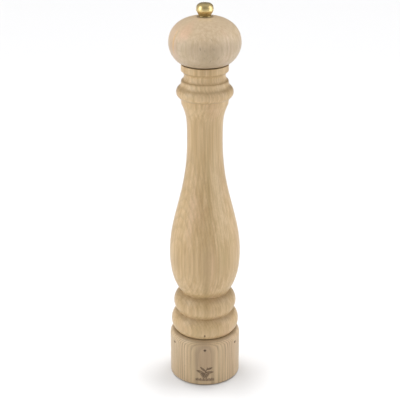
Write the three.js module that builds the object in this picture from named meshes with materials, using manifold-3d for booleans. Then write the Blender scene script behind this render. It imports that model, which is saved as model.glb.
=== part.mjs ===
// A turned wooden pepper mill with an adjustable burr, in millimetres, +Z up.
// The origin is the middle of the face it stands on, and the front faces -Y.
import * as THREE from 'three';
import { mergeVertices } from 'three/addons/utils/BufferGeometryUtils.js';
import Module from 'manifold-3d';

const wasm = await Module();
wasm.setup();

// ---- driving dimensions ----

const GAP = 0.3; // between pieces that are fixed to each other
const WOOD_SIDES = 32;
const MECHANISM_SIDES = 24;
const SMALL_SIDES = 16;
const SCREW_SIDES = 8;

// base ring
const RING_R = 37;
const RING_STRAIGHT_TOP = 45.3;
const RING_TOP = 52.5;
const RING_MOUTH_R = 28.5;
const RING_CEILING = 38;
const RING_CEILING_R = 26;
const RING_BORE_R = 15.3;
const RING_SEAT = 48.5;
const RING_SEAT_R = 26.8;

// turned body
const JOINT_R = 31.8;
const JOINT_GAP = 0.6;
const BODY_BOTTOM = RING_TOP + JOINT_GAP;
const LOWER_CREASE = [28.8, 74.9];
const UPPER_CREASE = [24.95, 97.65];
const BELLY = [36.5, 141];
const NECK = [17.8, 265.25];
const FLARE = [23.2, 301.6];
const BIG_BEAD_FOOT = [23.95, 307.3];
const BIG_BEAD_TOP = [25.7, 318.85];
const SMALL_BEAD_TOP = [23.4, 324.8];
const NECKING = [20.7, 328.3];
const COVE = [20.4, 330.7];
const COLLAR_R = 23.45;
const COLLAR_BOTTOM = 335.05;
const BODY_TOP = 341.4;
const HOPPER_R = 12.2;
const COUNTERBORE_R = 19.8;
const COUNTERBORE_TOP = 92;
const FLANGE_SEAT_R = 27;
const FLANGE_SEAT_TOP = BODY_BOTTOM + 3;

// head and knob
const HEAD_BOTTOM = BODY_TOP + JOINT_GAP;
const HEAD_FOOT_R = 21.9;
const DOME = [35.4, 362.3];
const HEAD_TOP = 387.7;
const HEAD_BORE_R = 4.4;
const SPIGOT_R = 11.8;
const SPIGOT_BOTTOM = 328.5;
const PLATE_SEAT_R = 10.3;
const KNOB_BOTTOM = 388.6;
const KNOB_FOOT_R = 5.9;
const KNOB_WIDEST = [8.4, 394.1];
const KNOB_TOP = 400.7;
const KNOB_BORE_R = 3.1;
const KNOB_BORE_TOP = 397.2;

// mechanism
const HOUSING_R = 19.4;
const HOUSING_BORE_R = 17.2;
const HOUSING_TOP = 88;
const FLANGE_R = 26.6;
const LEDGE_R = 14.9;
const LEDGE_T = 3;
const SPIDER_SEAT_R = 18.2;
const SPIDER_BOTTOM = 85;
const SPIDER_T = 2.4;
const SPIDER_HUB_R = 7.2;
const BUSH_R = 5.2;
const CORE_R = 14.6;
const CORE_BORE_R = 12.4;
const CORE_FLANGE_R = 26.4;
const CORE_FLANGE = { bottom: RING_SEAT + 0.2, top: RING_SEAT + 3 };
const CORE_TOP = 62;
const CORE_BOTTOM = 41;
const CARRIER_R = 12.1;
const CARRIER_BOTTOM = 44;
const CARRIER_FLANGE_R = 16.9;
const CARRIER_FLANGE = [63.6, 66.6];
const KEY_WIDTH = 3;
const KEY_R = 15.6;
const BURR_OUTER_R = 10.4;
const STATOR = { bottom: 45.2, top: 60.2, bottomR: 9.5, waistR: 8.9, waistZ: 52, topR: 9.6 };
const ROTOR = { bottom: 44.6, top: 70, bottomR: 8.6, waistR: 8.2, waistZ: 51, topR: 4.9 };
const SHAFT_SQUARE = 5.6;
const SHAFT_BOTTOM = 46;
const SHOULDER = [70.3, 73];
const SHOULDER_R = 5.2;
const JOURNAL_R = 4;
const JOURNAL = [80, 92];
const THREAD_R = 2.8;
const THREAD_BOTTOM = 373;
const SHAFT_TOP = 396.5;
const DETENT_R = 23;
const SETTINGS = 6;

// ---- materials ----

const finish = (color, roughness, metalness) =>
  new THREE.MeshStandardMaterial({ color, roughness, metalness });
const headWood = finish(0xc5ab8c, 0.5, 0);
const bodyWood = finish(0xbca27a, 0.5, 0);
const ringWood = finish(0xa58c71, 0.52, 0);
const brass = finish(0xbca16a, 0.32, 1);
const steel = finish(0xa9abae, 0.35, 1);
const zinc = finish(0xb9bcc0, 0.4, 1);
const blackPlastic = finish(0x1d1d1e, 0.5, 0);
const whitePlastic = finish(0xd9d6cc, 0.5, 0);

// ---- shape helpers ----

const v = (r, z) => new THREE.Vector2(r, z);

// An arc between two [r, z] points that bulges from the axis by sagitta.
// It leaves out its last point, so that the next stretch can start there.
function bead(from, to, sagitta, steps) {
  const a = v(...from);
  const b = v(...to);
  const chord = b.clone().sub(a);
  const half = chord.length() / 2;
  const radius = (half * half + sagitta * sagitta) / (2 * sagitta);
  const outward = v(chord.y, -chord.x).normalize();
  const centre = a.clone().add(b).multiplyScalar(0.5).addScaledVector(outward, sagitta - radius);
  const turn = 2 * Math.asin(half / radius);
  return Array.from({ length: steps }, (_, i) => a.clone().rotateAround(centre, (turn * i) / steps));
}

// A smooth stretch through four [r, z] control points, without its last point.
function sweep(points, steps) {
  const curve = new THREE.CubicBezierCurve(...points.map((p) => v(...p)));
  return curve.getPoints(steps).slice(0, -1);
}

function makeOutward(geometry) {
  const position = geometry.attributes.position;
  const index = geometry.index.array;
  const [a, b, c] = [new THREE.Vector3(), new THREE.Vector3(), new THREE.Vector3()];
  let volume = 0;
  for (let i = 0; i < index.length; i += 3) {
    a.fromBufferAttribute(position, index[i]);
    b.fromBufferAttribute(position, index[i + 1]);
    c.fromBufferAttribute(position, index[i + 2]);
    volume += a.dot(b.cross(c));
  }
  if (volume < 0) {
    for (let i = 0; i < index.length; i += 3) {
      [index[i], index[i + 1]] = [index[i + 1], index[i]];
    }
  }
  return geometry;
}

function bare(geometry) {
  const shape = geometry.clone();
  shape.deleteAttribute('normal');
  shape.deleteAttribute('uv');
  return makeOutward(mergeVertices(shape, 1e-4));
}

// A turned solid about +Z from [r, z] points. A ring's outline closes on itself.
function turned(points, sides, isRing = false) {
  const outline = points.map((p) => (p.isVector2 ? p : v(...p)));
  if (isRing) outline.push(outline[0].clone());
  return bare(new THREE.LatheGeometry(outline, sides).rotateX(Math.PI / 2));
}

const tube = (inner, outer, bottom, top, sides) =>
  turned([[inner, bottom], [outer, bottom], [outer, top], [inner, top]], sides, true);

const rod = (r, bottom, top, sides) =>
  turned([[0, bottom], [r, bottom], [r, top], [0, top]], sides);

const box = (x, y, bottom, top) =>
  bare(new THREE.BoxGeometry(x, y, top - bottom).translate(0, 0, (bottom + top) / 2));

const at = (geometry, radius, angle) =>
  geometry.clone().translate(radius, 0, 0).rotateZ(angle);

// A solid made of levels of equal point counts. Each level is [radius(angle), z].
// An open stack is capped at both ends, and a ring's last level joins its first.
function stack(levels, sides, isRing) {
  const points = [];
  const faces = [];
  const place = (level, side) => level * sides + (side % sides);
  for (const [radius, z] of levels) {
    for (let side = 0; side < sides; side++) {
      const angle = (2 * Math.PI * side) / sides;
      points.push(radius(angle) * Math.cos(angle), radius(angle) * Math.sin(angle), z);
    }
  }
  for (let level = 0; level < levels.length - (isRing ? 0 : 1); level++) {
    const next = (level + 1) % levels.length;
    for (let side = 0; side < sides; side++) {
      const [a, b] = [place(level, side), place(level, side + 1)];
      const [c, d] = [place(next, side + 1), place(next, side)];
      faces.push(a, b, c, a, c, d);
    }
  }
  if (!isRing) {
    const last = levels.length - 1;
    const centre = points.length / 3;
    points.push(0, 0, levels[0][1], 0, 0, levels[last][1]);
    for (let side = 0; side < sides; side++) {
      faces.push(centre, place(0, side + 1), place(0, side));
      faces.push(centre + 1, place(last, side), place(last, side + 1));
    }
  }
  const geometry = new THREE.BufferGeometry();
  geometry.setAttribute('position', new THREE.Float32BufferAttribute(points, 3));
  geometry.setIndex(faces);
  return makeOutward(geometry);
}

const round = (r) => () => r;
const square = (across) => (angle) =>
  across / 2 / Math.max(Math.abs(Math.cos(angle)), Math.abs(Math.sin(angle)));

function solid(geometry) {
  const mesh = new wasm.Mesh({
    numProp: 3,
    vertProperties: new Float32Array(geometry.attributes.position.array),
    triVerts: new Uint32Array(geometry.index.array),
  });
  return new wasm.Manifold(mesh);
}

function fromSolid(manifold) {
  const { vertProperties, triVerts } = manifold.getMesh();
  const geometry = new THREE.BufferGeometry();
  geometry.setAttribute('position', new THREE.BufferAttribute(vertProperties, 3));
  geometry.setIndex(new THREE.BufferAttribute(triVerts, 1));
  return geometry;
}

const cut = (geometry, tools) =>
  fromSolid(tools.reduce((body, tool) => body.subtract(solid(tool)), solid(geometry)));
const join = (geometry, others) =>
  fromSolid(others.reduce((body, other) => body.add(solid(other)), solid(geometry)));

const group = new THREE.Group();

function add(name, geometry, material) {
  const mesh = new THREE.Mesh(geometry, material);
  mesh.name = name;
  group.add(mesh);
}

// ---- fasteners ----

const thirds = [0, 1, 2].map((i) => Math.PI / 2 + (i * 2 * Math.PI) / 3);
const HOUSING_SCREWS = { radius: 23.2, angles: thirds, shank: 1.3, head: 2.3 };
const CORE_SCREWS = { ...HOUSING_SCREWS, radius: 18, angles: thirds.map((a) => a + Math.PI / 3) };
const PLATE_SCREWS = { radius: 7, angles: [0, Math.PI], shank: 1.2, head: 2.2 };
const SCREW_GAP = 0.25;
const HEAD_HEIGHT = 1.1;
const COUNTERSINK = 1.5;

// A screw seated at z = 0. Its shank points up for direction 1 and down for -1.
function screw({ shank, head }, length, direction) {
  const points = [
    [0, -HEAD_HEIGHT], [head * 0.75, -HEAD_HEIGHT], [head, -HEAD_HEIGHT * 0.45], [head, 0],
    [shank, 0], [shank, length - shank], [0, length],
  ];
  return turned(points.map(([r, z]) => [r, z * direction]), SCREW_SIDES);
}

const bores = ({ radius, angles }, r, bottom, top) =>
  angles.map((angle) => at(rod(r, bottom, top, SCREW_SIDES), radius, angle));
const screwHoles = (screws, bottom, top) => bores(screws, screws.shank + SCREW_GAP, bottom, top);
const headPockets = (screws, bottom, top) => bores(screws, screws.head + SCREW_GAP, bottom, top);

function addScrews(name, screws, seat, length, direction) {
  const geometry = screw(screws, length, direction).translate(0, 0, seat);
  screws.angles.forEach((angle, i) => {
    add(`${name}_${i + 1}`, at(geometry, screws.radius, angle), zinc);
  });
}

// ---- wooden pieces ----

const CORE_SCREW_LENGTH = 9;
const HOUSING_SCREW_LENGTH = 13;
const PLATE_SCREW_LENGTH = 11;

function makeBaseRing() {
  const bevel = 1.5;
  const shoulder = RING_TOP - RING_STRAIGHT_TOP;
  const outline = [
    v(RING_MOUTH_R, 0), v(RING_R - bevel, 0), v(RING_R, bevel),
    ...sweep([
      [RING_R, RING_STRAIGHT_TOP], [RING_R, RING_STRAIGHT_TOP + shoulder * 0.55],
      [JOINT_R + 2.3, RING_TOP], [JOINT_R, RING_TOP],
    ], 4),
    v(JOINT_R, RING_TOP), v(RING_SEAT_R, RING_TOP), v(RING_SEAT_R, RING_SEAT),
    v(RING_BORE_R, RING_SEAT), v(RING_BORE_R, RING_CEILING), v(RING_CEILING_R, RING_CEILING),
  ];
  const pilotEnd = CORE_FLANGE.top - COUNTERSINK - CORE_SCREW_LENGTH - 0.5;
  return cut(turned(outline, WOOD_SIDES, true), screwHoles(CORE_SCREWS, pilotEnd, RING_SEAT + 1));
}

function makeTurnedBody() {
  const outline = [
    v(FLANGE_SEAT_R, BODY_BOTTOM),
    ...bead([JOINT_R, BODY_BOTTOM], LOWER_CREASE, 5.06, 5),
    ...bead(LOWER_CREASE, UPPER_CREASE, 5.69, 5),
    ...sweep([UPPER_CREASE, [35, 110], [BELLY[0], 129], BELLY], 4),
    ...sweep([BELLY, [BELLY[0], 183], [NECK[0], 205.25], NECK], 7),
    ...sweep([NECK, [NECK[0], 283.25], [NECK[0], 289.6], FLARE], 3),
    v(...FLARE),
    ...bead(BIG_BEAD_FOOT, BIG_BEAD_TOP, 3.38, 4),
    ...bead(BIG_BEAD_TOP, SMALL_BEAD_TOP, -0.72, 2),
    ...bead(SMALL_BEAD_TOP, NECKING, -0.55, 2),
    v(...NECKING), v(...COVE),
    ...sweep([COVE, [COVE[0], 332.2], [COLLAR_R - 1, 334.25], [COLLAR_R, COLLAR_BOTTOM]], 3).slice(1),
    v(COLLAR_R, COLLAR_BOTTOM), v(COLLAR_R, BODY_TOP), v(HOPPER_R, BODY_TOP),
    v(HOPPER_R, COUNTERBORE_TOP), v(COUNTERBORE_R, COUNTERBORE_TOP),
    v(COUNTERBORE_R, FLANGE_SEAT_TOP), v(FLANGE_SEAT_R, FLANGE_SEAT_TOP),
  ];
  const pilotEnd = BODY_BOTTOM + COUNTERSINK + HOUSING_SCREW_LENGTH + 1;
  return cut(turned(outline, WOOD_SIDES, true), screwHoles(HOUSING_SCREWS, BODY_BOTTOM, pilotEnd));
}

function makeHead() {
  const rise = DOME[1] - HEAD_BOTTOM;
  const crown = HEAD_TOP - DOME[1];
  const plateSeat = SPIGOT_BOTTOM + 2.2;
  const outline = [
    v(PLATE_SEAT_R, SPIGOT_BOTTOM), v(SPIGOT_R, SPIGOT_BOTTOM), v(SPIGOT_R, HEAD_BOTTOM),
    ...sweep([
      [HEAD_FOOT_R, HEAD_BOTTOM], [HEAD_FOOT_R + 8.9, HEAD_BOTTOM + rise * 0.12],
      [DOME[0], DOME[1] - rise * 0.33], DOME,
    ], 5),
    ...sweep([DOME, [DOME[0], DOME[1] + crown * 0.72], [18.4, HEAD_TOP], [HEAD_BORE_R, HEAD_TOP]], 6),
    v(HEAD_BORE_R, HEAD_TOP), v(HEAD_BORE_R, plateSeat), v(PLATE_SEAT_R, plateSeat),
  ];
  const pilotEnd = SPIGOT_BOTTOM + PLATE_SCREW_LENGTH + 1;
  return cut(turned(outline, WOOD_SIDES, true), screwHoles(PLATE_SCREWS, SPIGOT_BOTTOM, pilotEnd));
}

add('base_ring', makeBaseRing(), ringWood);
add('turned_body', makeTurnedBody(), bodyWood);
add('head', makeHead(), headWood);

// ---- knob and its washer ----

function makeKnob() {
  const lower = KNOB_WIDEST[1] - KNOB_BOTTOM;
  const upper = KNOB_TOP - KNOB_WIDEST[1];
  return turned([
    v(KNOB_BORE_R, KNOB_BOTTOM),
    ...sweep([
      [KNOB_FOOT_R, KNOB_BOTTOM], [KNOB_FOOT_R + 0.9, KNOB_BOTTOM + lower * 0.45],
      [KNOB_WIDEST[0], KNOB_WIDEST[1] - lower * 0.3], KNOB_WIDEST,
    ], 4),
    ...sweep([
      KNOB_WIDEST, [KNOB_WIDEST[0], KNOB_WIDEST[1] + upper * 0.82],
      [KNOB_WIDEST[0] * 0.72, KNOB_TOP], [0, KNOB_TOP],
    ], 6),
    v(0, KNOB_TOP), v(0, KNOB_BORE_TOP), v(KNOB_BORE_R, KNOB_BORE_TOP - 1),
    v(KNOB_BORE_R, KNOB_BOTTOM),
  ], MECHANISM_SIDES);
}

add('knob', makeKnob(), brass);
add('knob_washer', tube(KNOB_BORE_R, 6, HEAD_TOP + 0.15, KNOB_BOTTOM - 0.2, SMALL_SIDES), brass);

// ---- adjuster: what turns with the base ring ----

const GROOVE = { bottom: 56.9, top: 58.7, radius: 13.8 };
const TRACK = { half: 1.6, slope: 0.5, depth: 0.7 };
const SPLIT_WIDTH = 4;

// The detent ball runs in a round track in the flange's top, from pocket to pocket.
function makeAdjusterCore() {
  const { bottom, top } = CORE_FLANGE;
  const body = turned([
    [CORE_BORE_R, CORE_BOTTOM], [CORE_R, CORE_BOTTOM], [CORE_R, bottom],
    [CORE_FLANGE_R, bottom], [CORE_FLANGE_R, top], [DETENT_R + TRACK.half, top],
    [DETENT_R + TRACK.half - TRACK.slope, top - TRACK.depth],
    [DETENT_R - TRACK.half + TRACK.slope, top - TRACK.depth], [DETENT_R - TRACK.half, top],
    [CORE_R, top], [CORE_R, GROOVE.bottom], [GROOVE.radius, GROOVE.bottom],
    [GROOVE.radius, GROOVE.top], [CORE_R, GROOVE.top], [CORE_R, CORE_TOP], [CORE_BORE_R, CORE_TOP],
  ], MECHANISM_SIDES, true);
  const settings = Array.from({ length: SETTINGS }, (_, i) =>
    -Math.PI / 2 + (i * 2 * Math.PI) / SETTINGS);
  const pockets = bores({ radius: DETENT_R, angles: settings }, 1, top - TRACK.depth - 0.5, top);
  return cut(body, [
    ...pockets,
    ...screwHoles(CORE_SCREWS, bottom - 1, top + 1),
    ...headPockets(CORE_SCREWS, top - COUNTERSINK, top + 1),
  ]);
}

function makeRetainingRing() {
  const [bottom, top] = [GROOVE.bottom + 0.2, GROOVE.top - 0.2];
  const ring = tube(GROOVE.radius + GAP, HOUSING_BORE_R - 0.4, bottom, top, MECHANISM_SIDES);
  return cut(ring, [at(box(8, SPLIT_WIDTH, bottom - 1, top + 1), HOUSING_BORE_R, Math.PI / 4)]);
}

add('adjuster_core', makeAdjusterCore(), blackPlastic);
addScrews('core_screw', CORE_SCREWS, CORE_FLANGE.top - COUNTERSINK + 0.1, CORE_SCREW_LENGTH, -1);
add('retaining_ring', makeRetainingRing(), steel);

// ---- housing: what stays with the body ----

const FLANGE = { bottom: BODY_BOTTOM + 0.2, top: FLANGE_SEAT_TOP - GAP };
const LEDGE_TOP = FLANGE.bottom + LEDGE_T;
const KEYS = { bottom: 60, top: 84 };
const BALL_R = 1.4;
const BALL_Z = CORE_FLANGE.top - TRACK.depth + 0.15 + BALL_R;
const LEAF = { length: 13, width: 3.2, thickness: 0.4, bottom: BALL_Z + BALL_R + 0.15 };

function makeHousing() {
  const body = turned([
    [LEDGE_R, FLANGE.bottom], [FLANGE_R, FLANGE.bottom], [FLANGE_R, FLANGE.top],
    [HOUSING_R, FLANGE.top], [HOUSING_R, HOUSING_TOP], [SPIDER_SEAT_R, HOUSING_TOP],
    [SPIDER_SEAT_R, SPIDER_BOTTOM], [HOUSING_BORE_R, SPIDER_BOTTOM],
    [HOUSING_BORE_R, LEDGE_TOP], [LEDGE_R, LEDGE_TOP],
  ], MECHANISM_SIDES, true);
  const keyDepth = HOUSING_BORE_R + 1 - KEY_R;
  const keys = thirds.map((angle) =>
    at(box(keyDepth, KEY_WIDTH, KEYS.bottom, KEYS.top), KEY_R + keyDepth / 2, angle));
  const slot = box(LEAF.width + 0.6, LEAF.length + 0.6, LEAF.bottom - 0.1, FLANGE.top + 1);
  return cut(join(body, keys), [
    ...screwHoles(HOUSING_SCREWS, FLANGE.bottom - 1, FLANGE.top + 1),
    ...headPockets(HOUSING_SCREWS, FLANGE.bottom - 1, BODY_BOTTOM + COUNTERSINK),
    ...bores({ radius: DETENT_R, angles: [-Math.PI / 2] }, BALL_R + 0.3, FLANGE.bottom - 1, LEAF.bottom),
    at(slot, DETENT_R, -Math.PI / 2),
  ]);
}

function makeSpider() {
  const top = SPIDER_BOTTOM + 0.1 + SPIDER_T;
  const bottom = SPIDER_BOTTOM + 0.1;
  const rim = tube(14.8, SPIDER_SEAT_R - GAP, bottom, top, MECHANISM_SIDES);
  const hub = rod(SPIDER_HUB_R, 82, 89.2, MECHANISM_SIDES);
  const arms = thirds.map((angle) => at(box(11, 4.5, bottom, top), 10, angle));
  return cut(join(rim, [hub, ...arms]), [rod(BUSH_R + 0.2, 81, 90, MECHANISM_SIDES)]);
}

add('mechanism_housing', makeHousing(), blackPlastic);
addScrews('housing_screw', HOUSING_SCREWS, BODY_BOTTOM + COUNTERSINK - 0.1, HOUSING_SCREW_LENGTH, 1);
add('bearing_spider', makeSpider(), steel);
add('shaft_bush', tube(JOURNAL_R + 0.1, BUSH_R, 82.2, 89, MECHANISM_SIDES), brass);
add('detent_ball', bare(new THREE.SphereGeometry(BALL_R, 10, 6)
  .translate(0, -DETENT_R, BALL_Z)), steel);
add('detent_leaf', at(box(LEAF.width, LEAF.length, LEAF.bottom, LEAF.bottom + LEAF.thickness),
  DETENT_R, -Math.PI / 2), steel);

// ---- stator: slides in the housing's keys ----

const TOOTH_SIDES = 48;
const FINE_TEETH = 24;
const FLUTES = 6;

// A saw-toothed radius: each of count teeth ramps down by depth, turned by twist.
const toothed = (r, count, depth, twist) => (angle) => {
  const phase = ((angle + twist) * count) / (2 * Math.PI);
  return r - depth * (phase - Math.floor(phase));
};

function makeCarrier() {
  const [flangeBottom, flangeTop] = CARRIER_FLANGE;
  const bore = BURR_OUTER_R + GAP;
  const body = turned([
    [bore - 0.8, CARRIER_BOTTOM], [CARRIER_R, CARRIER_BOTTOM], [CARRIER_R, flangeBottom],
    [CARRIER_FLANGE_R, flangeBottom], [CARRIER_FLANGE_R, flangeTop], [12.6, flangeTop],
    [bore, STATOR.top + 1], [bore, CARRIER_BOTTOM + 0.9], [bore - 0.8, CARRIER_BOTTOM + 0.9],
  ], MECHANISM_SIDES, true);
  const notchDepth = 4;
  const notches = thirds.map((angle) =>
    at(box(notchDepth, KEY_WIDTH + 2 * GAP, flangeBottom - 1, flangeTop + 1),
      KEY_R - GAP + notchDepth / 2, angle));
  return cut(body, notches);
}

function makeOuterBurr() {
  const { bottom, top, bottomR, waistR, waistZ, topR } = STATOR;
  const inner = [
    [toothed(topR, FLUTES, 0, 0), top],
    [toothed(topR, FLUTES, 0.9, 0.25), (top + waistZ) / 2],
    [toothed(waistR, FINE_TEETH, 0, 0), waistZ],
    [toothed(bottomR, FINE_TEETH, 0.5, 0), bottom],
  ];
  return stack([[round(BURR_OUTER_R), bottom], [round(BURR_OUTER_R), top], ...inner],
    TOOTH_SIDES, true);
}

function makeInnerBurr() {
  const { bottom, top, bottomR, waistR, waistZ, topR } = ROTOR;
  const hole = square(SHAFT_SQUARE + 0.4);
  const fluted = [0, 1, 2, 3, 4, 5].map((i) => {
    const t = i / 5;
    const r = THREE.MathUtils.lerp(waistR, topR, t);
    return [toothed(r, FLUTES, 1.7 * (1 - t) * Math.min(1, 4 * t), t), THREE.MathUtils.lerp(waistZ, top, t)];
  });
  return stack([
    [hole, top], [hole, bottom], [toothed(bottomR, FINE_TEETH, 0.6, 0), bottom],
    [toothed(waistR, FINE_TEETH, 0.6, 0.1), waistZ - 0.8], ...fluted,
  ], TOOTH_SIDES, true);
}

const SPRING = { radius: 14, wire: 0.65, bottom: CARRIER_FLANGE[1] + 0.1, top: SPIDER_BOTTOM, turns: 4 };

// A compression spring: its centre line climbs less at both ends, so they lie flat.
class SpringLine extends THREE.Curve {
  getPoint(t, target = new THREE.Vector3()) {
    const { radius, wire, bottom, top, turns } = SPRING;
    const angle = 2 * Math.PI * turns * t;
    const rise = THREE.MathUtils.smoothstep(t, 0, 1) * 0.4 + t * 0.6;
    const z = THREE.MathUtils.lerp(bottom + wire, top - wire, rise);
    return target.set(radius * Math.cos(angle), radius * Math.sin(angle), z);
  }
}

function makeSpring() {
  const wire = new THREE.Shape().absarc(0, 0, SPRING.wire, 0, 2 * Math.PI);
  return bare(new THREE.ExtrudeGeometry(wire, {
    steps: 14 * SPRING.turns, curveSegments: 3, extrudePath: new SpringLine(),
  }));
}

add('stator_carrier', makeCarrier(), whitePlastic);
add('outer_burr', makeOuterBurr(), steel);
add('carrier_spring', makeSpring(), steel);

// ---- shaft: what turns with the head ----

const SHAFT_SIDES = 16;
const BURR_SCREW = { shank: 1.6, head: 4.4, bore: 1.85, top: 54, boreTop: 55.5 };
const CLIP = { bottom: 90.6, top: 91.7, grooveR: 3.4, outerR: 6.2 };

function makeShaft() {
  const bar = square(SHAFT_SQUARE);
  const profile = [
    [round(BURR_SCREW.bore), BURR_SCREW.boreTop], [round(BURR_SCREW.bore), SHAFT_BOTTOM],
    [bar, SHAFT_BOTTOM], [bar, SHOULDER[0]], [round(SHOULDER_R), SHOULDER[0]],
    [round(SHOULDER_R), SHOULDER[1]], [bar, SHOULDER[1]], [bar, JOURNAL[0]],
    [round(JOURNAL_R), JOURNAL[0]], [round(JOURNAL_R), CLIP.bottom], [round(CLIP.grooveR), CLIP.bottom],
    [round(CLIP.grooveR), CLIP.top], [round(JOURNAL_R), CLIP.top], [round(JOURNAL_R), JOURNAL[1]],
    [bar, JOURNAL[1]], [bar, THREAD_BOTTOM], [round(THREAD_R - 0.4), THREAD_BOTTOM],
    [round(THREAD_R - 0.4), THREAD_BOTTOM + 1], [round(THREAD_R), THREAD_BOTTOM + 1.4],
    [round(THREAD_R), SHAFT_TOP - 0.7], [round(THREAD_R - 0.7), SHAFT_TOP],
  ];
  return stack(profile, SHAFT_SIDES, false);
}

function makeClip() {
  const clip = tube(CLIP.grooveR + 0.2, CLIP.outerR, CLIP.bottom + 0.15, CLIP.top - 0.15, SMALL_SIDES);
  return cut(clip, [at(box(8, SPLIT_WIDTH, CLIP.bottom, CLIP.top), 6, 0)]);
}

function makeBurrScrew() {
  const { shank, head, top } = BURR_SCREW;
  const seat = ROTOR.bottom - GAP;
  return turned([
    [0, seat - 1.5], [head * 0.8, seat - 1.5], [head, seat - 0.7], [head, seat],
    [shank, seat], [shank, top - 0.6], [shank - 0.6, top], [0, top],
  ], SMALL_SIDES);
}

add('drive_shaft', makeShaft(), steel);
add('inner_burr', makeInnerBurr(), steel);
add('burr_screw', makeBurrScrew(), zinc);
add('thrust_washer', tube(JOURNAL_R + 0.2, 7, 89.5, 90.3, SMALL_SIDES), steel);
add('retaining_clip', makeClip(), steel);

// ---- drive plate: passes the head's turning to the shaft ----

function makeDrivePlate() {
  const half = SHAFT_SQUARE / 2 + 0.2;
  const plate = new THREE.Shape().absarc(0, 0, PLATE_SEAT_R - GAP, 0, 2 * Math.PI);
  const opening = [[-half, -half], [-half, half], [half, half], [half, -half]];
  plate.holes.push(new THREE.Path(opening.map(([x, y]) => v(x, y))));
  for (const x of [-PLATE_SCREWS.radius, PLATE_SCREWS.radius]) {
    plate.holes.push(new THREE.Path().absarc(x, 0, PLATE_SCREWS.shank + SCREW_GAP, 0, 2 * Math.PI));
  }
  const settings = { depth: 1.6, bevelEnabled: false, curveSegments: MECHANISM_SIDES / 2 };
  return bare(new THREE.ExtrudeGeometry(plate, settings).translate(0, 0, SPIGOT_BOTTOM + GAP));
}

add('drive_plate', makeDrivePlate(), steel);
addScrews('drive_plate_screw', PLATE_SCREWS, SPIGOT_BOTTOM + 0.1, PLATE_SCREW_LENGTH, 1);

export default group;
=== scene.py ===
"""The looks of a turned-wood pepper mill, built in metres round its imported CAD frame.

Outlines are written in millimetres as complex numbers: a radius plus 1j times a height.
"""
import math

import bmesh
import bpy
import numpy as np
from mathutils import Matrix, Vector


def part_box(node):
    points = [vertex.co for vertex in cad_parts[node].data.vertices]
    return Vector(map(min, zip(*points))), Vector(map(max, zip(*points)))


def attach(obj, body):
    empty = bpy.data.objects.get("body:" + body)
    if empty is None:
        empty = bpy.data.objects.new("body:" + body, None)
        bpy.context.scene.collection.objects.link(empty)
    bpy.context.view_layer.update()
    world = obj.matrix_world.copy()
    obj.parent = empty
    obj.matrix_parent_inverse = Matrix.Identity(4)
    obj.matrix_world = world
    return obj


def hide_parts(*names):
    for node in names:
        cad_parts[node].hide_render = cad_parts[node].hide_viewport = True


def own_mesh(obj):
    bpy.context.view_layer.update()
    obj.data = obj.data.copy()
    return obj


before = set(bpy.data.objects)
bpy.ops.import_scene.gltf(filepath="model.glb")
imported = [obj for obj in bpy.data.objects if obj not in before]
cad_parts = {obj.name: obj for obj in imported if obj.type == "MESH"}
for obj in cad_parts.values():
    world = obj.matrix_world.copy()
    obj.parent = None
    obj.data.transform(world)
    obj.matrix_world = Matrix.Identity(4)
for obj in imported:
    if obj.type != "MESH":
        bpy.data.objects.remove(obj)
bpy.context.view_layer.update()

MM = 0.001
TURN = 2 * math.pi
FRONT = -math.pi / 2
THIRDS = [math.pi / 2 + i * TURN / 3 for i in range(3)]
BETWEEN_THIRDS = [angle + math.pi / 3 for angle in THIRDS]


def low(node):
    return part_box(node)[0] / MM


def high(node):
    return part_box(node)[1] / MM


# ---- outlines ----


def arc(start, end, sagitta, steps):
    """An arc that bulges from the axis by sagitta, without its last point."""
    chord = end - start
    half = abs(chord) / 2
    radius = (half**2 + sagitta**2) / (2 * sagitta)
    centre = (start + end) / 2 - 1j * chord / abs(chord) * (sagitta - radius)
    turn = 2 * math.asin(half / radius)
    return [centre + (start - centre) * np.exp(1j * turn * i / steps) for i in range(steps)]


def bezier(a, b, c, d, steps):
    """A smooth stretch through four control points, without its last point."""
    shares = [i / steps for i in range(steps)]
    return [a * (1 - t) ** 3 + 3 * b * t * (1 - t) ** 2 + 3 * c * t**2 * (1 - t) + d * t**3 for t in shares]


def soften(outline, radius, steps=4, sharp=0.4):
    """A closed outline with its sharp corners rounded."""
    made = []
    for before, corner, after in zip(outline[-1:] + outline[:-1], outline, outline[1:] + outline[:1]):
        inward, onward = before - corner, after - corner
        bend = math.pi - abs(np.angle(inward / onward))
        if bend < sharp or abs(corner.real) < 1e-6:
            made.append(corner)
            continue
        reach = min(radius * math.tan(bend / 2), 0.45 * abs(inward), 0.45 * abs(onward))
        first = corner + inward / abs(inward) * reach
        last = corner + onward / abs(onward) * reach
        shares = [i / steps for i in range(steps + 1)]
        made += [first * (1 - t) ** 2 + 2 * corner * t * (1 - t) + last * t**2 for t in shares]
    return made


def refine(outline, step):
    """A closed outline with its long stretches divided, so that step(point) is the most left there."""
    made = []
    for start, end in zip(outline, outline[1:] + outline[:1]):
        place, length = 0.0, abs(end - start)
        while place < length:
            point = start + (end - start) * place / length
            made.append(point)
            place += step(point)
            if length - place < 0.3 * step(point):
                break
    return made


def sleeve(inner, outer, bottom, top, rounding=0.2):
    """The outline of a tube with rounded edges."""
    corners = [inner + bottom * 1j, outer + bottom * 1j, outer + top * 1j, inner + top * 1j]
    return soften(corners, rounding)


def around(count):
    return np.arange(count) * TURN / count


def around_with(patches, coarse, fine):
    """Angles round the axis, closer within each patch, which is a middle and a half width."""
    made = [0.0]
    while made[-1] < TURN - fine:
        near = any(abs((made[-1] - middle + math.pi) % TURN - math.pi) < half for middle, half in patches)
        made.append(made[-1] + (fine if near else coarse))
    return np.array(made[:-1])


# ---- meshes ----


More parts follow.
